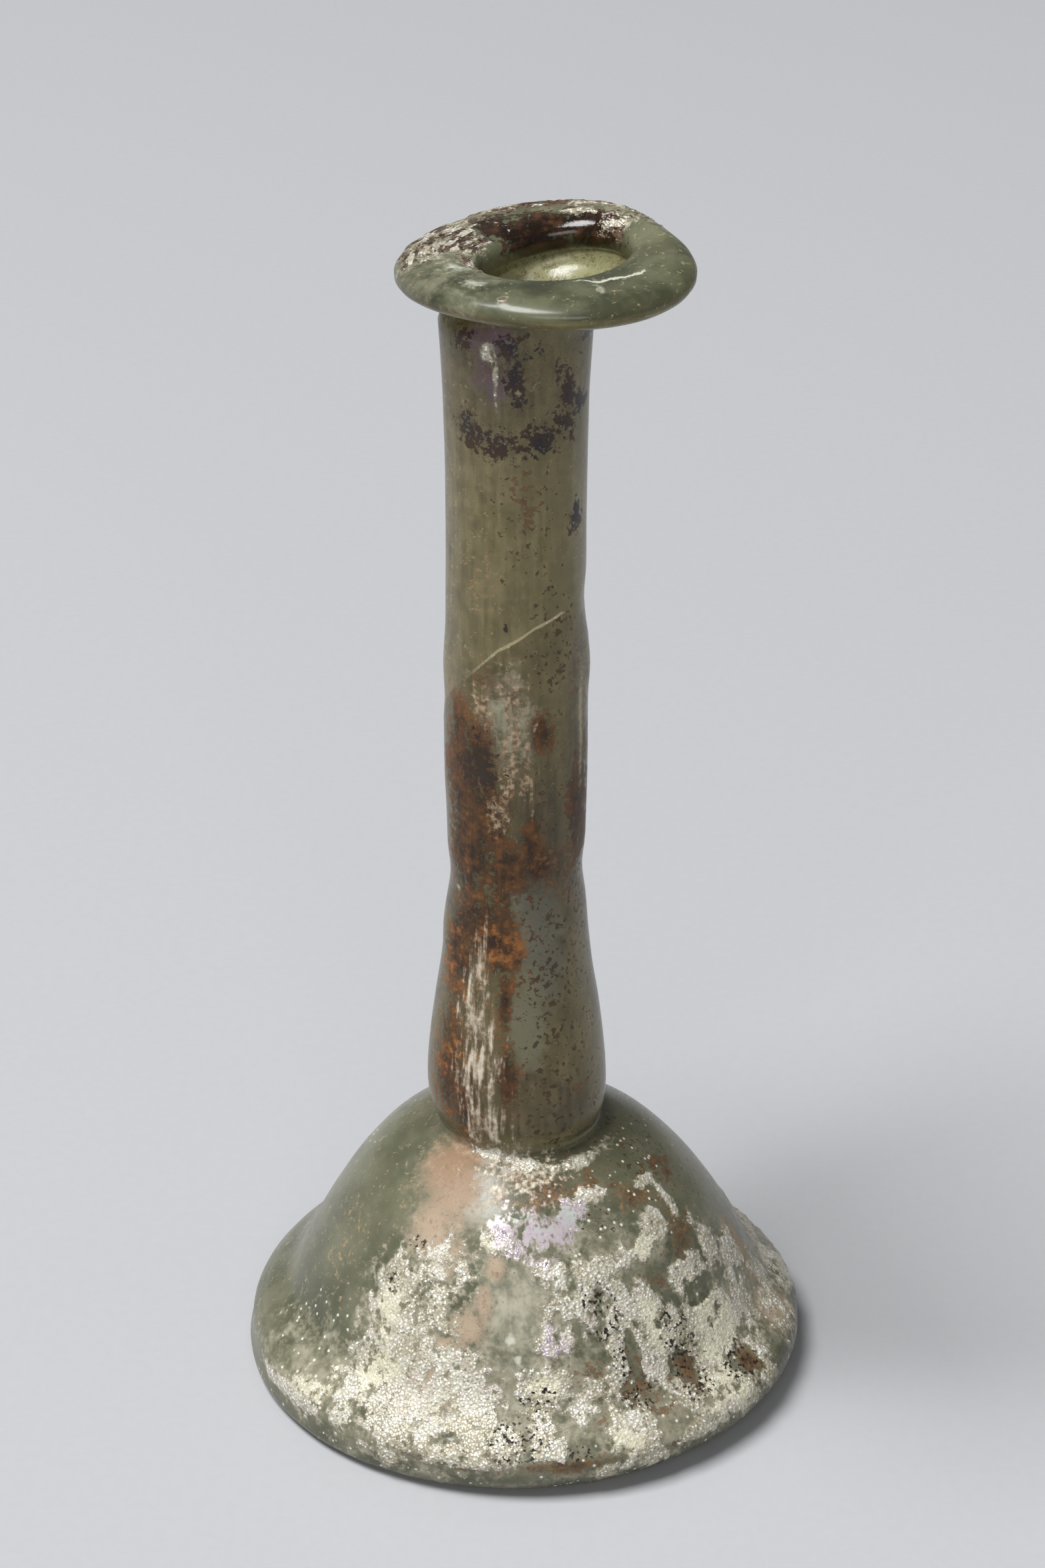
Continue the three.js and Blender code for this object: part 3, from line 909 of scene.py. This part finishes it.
# %% [markdown]
# ## The colours
# No layer has one flat colour. Each mixes two or three by noise of its own grain: rust turns orange in
# blotches, and the crust turns from grey to cream and pink. Its bubbles carry painted glints, dots that
# are almost white or pastel.

# %% Colours of the stains
rust_colour = s.mix(s.step(streaks * 0.5 + blotch, -0.5, 0.5), colour(32, 19, 10), colour(88, 55, 27))
rust_colour = s.mix(s.step(grain + fine * 0.4, 0.1, 0.7) * 0.8, rust_colour, colour(32, 18, 9))
orange = s.step(blotch * 0.7 + broad * 0.5 + grain * 0.8, -0.1, 0.8)
orange = orange * (1 - s.step(climb + blotch * 6, 70, 84) * 0.55)
rust_colour = s.mix(orange, rust_colour, colour(150, 97, 47))
stain_colour = s.mix(s.step(grain + fine * 0.6, -0.2, 0.5), colour(76, 57, 39), colour(144, 112, 73))
rust_colour = s.mix(on_neck, stain_colour, rust_colour)

dark_colour = s.mix(s.step(broad + grain, -0.4, 0.4), colour(28, 32, 44), colour(60, 42, 31))
dark_colour = s.mix(low_neck, dark_colour, colour(48, 36, 29))
dark_on_lip = s.mix(s.step(blotch + grain * 0.5, -0.2, 0.7), colour(26, 17, 12), colour(74, 50, 32))
dark_colour = s.mix(on_lip, dark_colour, dark_on_lip)

soil_colour = s.mix(s.step(climb + blotch * 2.5, 28, 37), colour(166, 148, 126), colour(134, 105, 79))
soil_colour = s.mix(s.step(blotch + grain * 0.5, -0.1, 0.6) * 0.5, soil_colour, colour(184, 170, 146))
soil_colour = s.mix(s.step(grain + fine * 0.5, -0.1, 0.7) * 0.8, soil_colour, colour(118, 98, 78))
dirt_colour = s.mix(s.step(grain, -0.3, 0.5), colour(50, 37, 27), colour(118, 88, 58))

# %% Colours of the films
film_clouds = s.step(blotch + streaks * 0.4, -0.5, 0.5)
film_colour = s.mix(film_clouds, colour(122, 119, 98), colour(168, 164, 143))
thin_colour = s.mix(s.step(grain, -0.4, 0.5), colour(138, 132, 108), colour(186, 180, 158))
bloom_colour = s.mix(s.step(grain, -0.3, 0.5), colour(90, 70, 50), colour(176, 155, 126))
# Colours of the streak: brown threads, and near-white crust that also stands in for a highlight.
threads = s.step(grain * 0.5 + streaks, -0.4, 0.7)
streak_and_sheen_colour = s.mix(threads, colour(114, 94, 70), colour(210, 200, 180))
# Colours of the painted sheen: pearly green and pink, greyer along the streaks.
pearl = s.step(broad + grain * 0.5, -0.6, -0.2)
painted_sheen_colour = s.mix(pearl, colour(212, 226, 214), colour(226, 212, 220))
painted_sheen_colour = s.mix(s.step(streaks + grain * 0.6, 0.1, 0.7), painted_sheen_colour, colour(150, 140, 134))

# %% Colours of the crust
crust_colour = s.mix(s.step(blotch + broad, -0.5, 0.5), colour(174, 167, 145), colour(202, 199, 184))
pink = s.step(broad - blotch * 0.5, 0.1, 0.7) * 0.6
crust_colour = s.mix(pink, crust_colour, colour(194, 177, 172))
crust_colour = s.mix(s.step(fine + grain * 0.5, -0.1, 0.5) * 0.7, crust_colour, colour(120, 112, 92))
# Colours of the painted glints: almost white, some tinted pastel like iridescence.
painted_glint_tint = s.mix(s.step(flake + blotch, -0.3, 0.3), colour(206, 232, 226), colour(242, 214, 226))
painted_glint_colour = s.mix(s.step(drop_shade, 0.5, 0.6) * 0.6, colour(250, 249, 242), painted_glint_tint)
crust_colour = s.mix(painted_glints, crust_colour, painted_glint_colour)

cream_colour = s.mix(s.step(fine + grain, -0.2, 0.7), colour(216, 212, 188), colour(176, 170, 146))
# The cream crust gets painted glints too.
cream_colour = s.mix(painted_glints * 0.7, cream_colour, colour(244, 243, 232))
crust_colour = s.mix(cream, crust_colour, cream_colour)

flakes_on_lip = s.mix(s.step(grain, -0.2, 0.3), colour(46, 32, 24), colour(100, 82, 66))
flaked = on_lip * s.step(rings * 1.1 + blotch * 0.5, -0.15, 0.1)
crust_colour = s.mix(flaked, crust_colour, flakes_on_lip)
print(f"{len(s.tree.nodes)} nodes with the colours")

# %% [markdown]
# ## Laid down in order
# The layers go on from the haze in the glass to the crust, as they did in the ground. Each covers what
# is under it by its mask, and its cover decides how much of the clear glass is left to see through.

# %% Lay the layers down
HAZE_COVER = 0.5
INSIDE_SHARE = 0.25  # of the cover, on the inside of the glass

ochre_colour = s.mix(on_neck, colour(166, 140, 102), colour(140, 114, 80))
# Colour of the pale marks and painted highlights: near white on the body and lip, yellowish on the neck.
pale_and_glint_colour = s.mix(on_neck * (1 - on_lip), colour(204, 204, 188), colour(178, 172, 132))
# Some layers are painted light, not weathering: the sheen, part of the streak and some pale marks.
LAYERS = [
    # (mask, colour, cover)
    (speck * 0.6, colour(170, 156, 124), 0.8),
    (ochre * 0.75, ochre_colour, 0.85),
    (film, film_colour, 0.8),
    (thin, thin_colour, 0.85),
    (fleck * 0.9, colour(58, 36, 20), 0.95),
    (rust * (0.8 + on_neck * 0.15), rust_colour, 1.0),
    (dirt * 0.85, dirt_colour, 0.92),
    (bloom, bloom_colour, 0.95),
    (dark, dark_colour, 0.97),
    (soil, soil_colour, 0.95),
    (streak_and_sheen, streak_and_sheen_colour, 0.95),
    (crust, crust_colour, 1.0),
    (pores, colour(40, 32, 27), 1.0),
    # painted highlight with an iridescent tint
    (painted_sheen, painted_sheen_colour, 0.95),
    (droplet * 0.85, colour(226, 226, 212), 1.0),
    (pale_mark_and_glint * 0.8, pale_and_glint_colour, 0.9),
    (scratch * 0.85, colour(206, 208, 192), 1.0),
]

shade = haze
# In the mouth the cover is raised, so that the painted brightness shows.
cover = HAZE_COVER + broad * 0.15 + in_mouth * 0.25
for mask, tint, opacity in LAYERS:
    shade = s.mix(mask, shade, tint)
    cover = cover + (opacity - cover) * mask
# The painted highlight of the crack goes on last.
shade = s.mix(crack_painted_highlight * 0.9, shade, colour(218, 206, 168))
cover = cover * (1 - s.mark("inside") * (1 - in_mouth) * (1 - INSIDE_SHARE))
print(f"{len(LAYERS)} layers lie on the glass")

# %% [markdown]
# ## Gloss and relief
# Soil is dull, the film has a soft sheen, and the dark stain in the mouth is as glossy as the glass. The
# bubbles and threads that are too small for the mesh go into a bump.

# %% Gloss and relief of the layers
BUMP_DEPTH = 0.12  # millimetres

roughness = 0.36 + soil * 0.35 + rust * 0.12 - painted_sheen * 0.12
roughness = roughness + on_lip * (0.14 - in_mouth * 0.42 - dark * 0.42)
metallic = crust * 0.12 + painted_sheen * 0.45 + film * 0.1
lumps = crust * (1 - cream * 0.5) * (1 - bubble) * 1.6
lumps = lumps + rust * (blotch + grain) * 0.15 + streak_and_sheen * streaks * 0.4
grit = grain * (0.1 + in_mouth * 0.2) + streaks * on_neck * 0.08
relief = s.bump(lumps + grit, BUMP_DEPTH, 0.8)
groove = s.bump(s.step(above_crack, -0.1, 0.1), BUMP_DEPTH, 0.7, under=relief)

# %% Two surfaces on one skin
GLASS_TINT = colour(214, 208, 164)
GLASS_BENDING = 1.5  # the index of refraction of plain glass

glass = s.node("ShaderNodeBsdfPrincipled", None, {
    "Base Color": GLASS_TINT,
    "Roughness": 0.2,
    "IOR": GLASS_BENDING,
    "Transmission Weight": 1.0,
})
on_top = s.node("ShaderNodeBsdfPrincipled", None, {
    "Base Color": shade,
    "Roughness": roughness,
    "Metallic": metallic,
    "IOR": GLASS_BENDING,
    "Specular IOR Level": 0.3,
    "Normal": groove,
})
both = s.node("ShaderNodeMixShader", None, {0: cover, 1: glass, 2: on_top})
s.node("ShaderNodeOutputMaterial", None, {"Surface": both})
flask.data.materials.append(s.material)
print(f"the material has {len(s.tree.nodes)} nodes")

# %% [markdown]
# ## Light and floor
# Plain soft studio light: a wide softbox high up on the left, a lower one in front that gives the lip
# its broad gleam, a weak one from the right, and a pale floor.

# %% Light the flask
AIM = (0, 0, 0.08)


def softbox(name, place, size, power):
    """A rectangular lamp of a size in metres and a power in watts, turned towards the flask."""
    bpy.ops.object.light_add(type="AREA", location=place)
    light = bpy.context.object
    light.name = name
    light.data.shape = "RECTANGLE"
    light.data.size, light.data.size_y = size
    light.data.energy = power
    light.rotation_euler = (Vector(AIM) - Vector(place)).to_track_quat("-Z", "Y").to_euler()


softbox("overhead", (-1.12, -0.4, 2.9), (1.6, 1.2), 140)
softbox("front", (-0.2, -2.35, 1.35), (1.8, 0.8), 20)
softbox("right", (2.0, -0.3, 1.0), (0.8, 1.4), 1)

world = bpy.data.worlds.new("studio")
world.use_nodes = True
background = world.node_tree.nodes["Background"]
background.inputs["Color"].default_value = (0.86, 0.86, 0.87, 1)
background.inputs["Strength"].default_value = 0.2
scene = bpy.context.scene
scene.world = world
print(f"{len(bpy.data.lights)} lamps light the flask")

# %% Lay the floor
bpy.ops.mesh.primitive_plane_add(size=6, location=(0, 0, 0))
floor = bpy.context.object
floor.name = "floor"
paper = Shader("floor_paper")
paper_shade = paper.mix(paper.noise(1.5, 3) + 0.5, colour(168, 169, 172), colour(170, 171, 174))
surface = paper.node("ShaderNodeBsdfPrincipled", None, {"Base Color": paper_shade, "Roughness": 0.8})
paper.node("ShaderNodeOutputMaterial", None, {"Surface": surface})
floor.data.materials.append(paper.material)

# %% Set how light is followed and shown
scene.view_settings.view_transform = "Standard"
scene.cycles.use_denoising = True
scene.cycles.max_bounces = 14
scene.cycles.transmission_bounces = 12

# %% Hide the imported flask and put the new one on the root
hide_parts("flask")
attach(flask, "root")
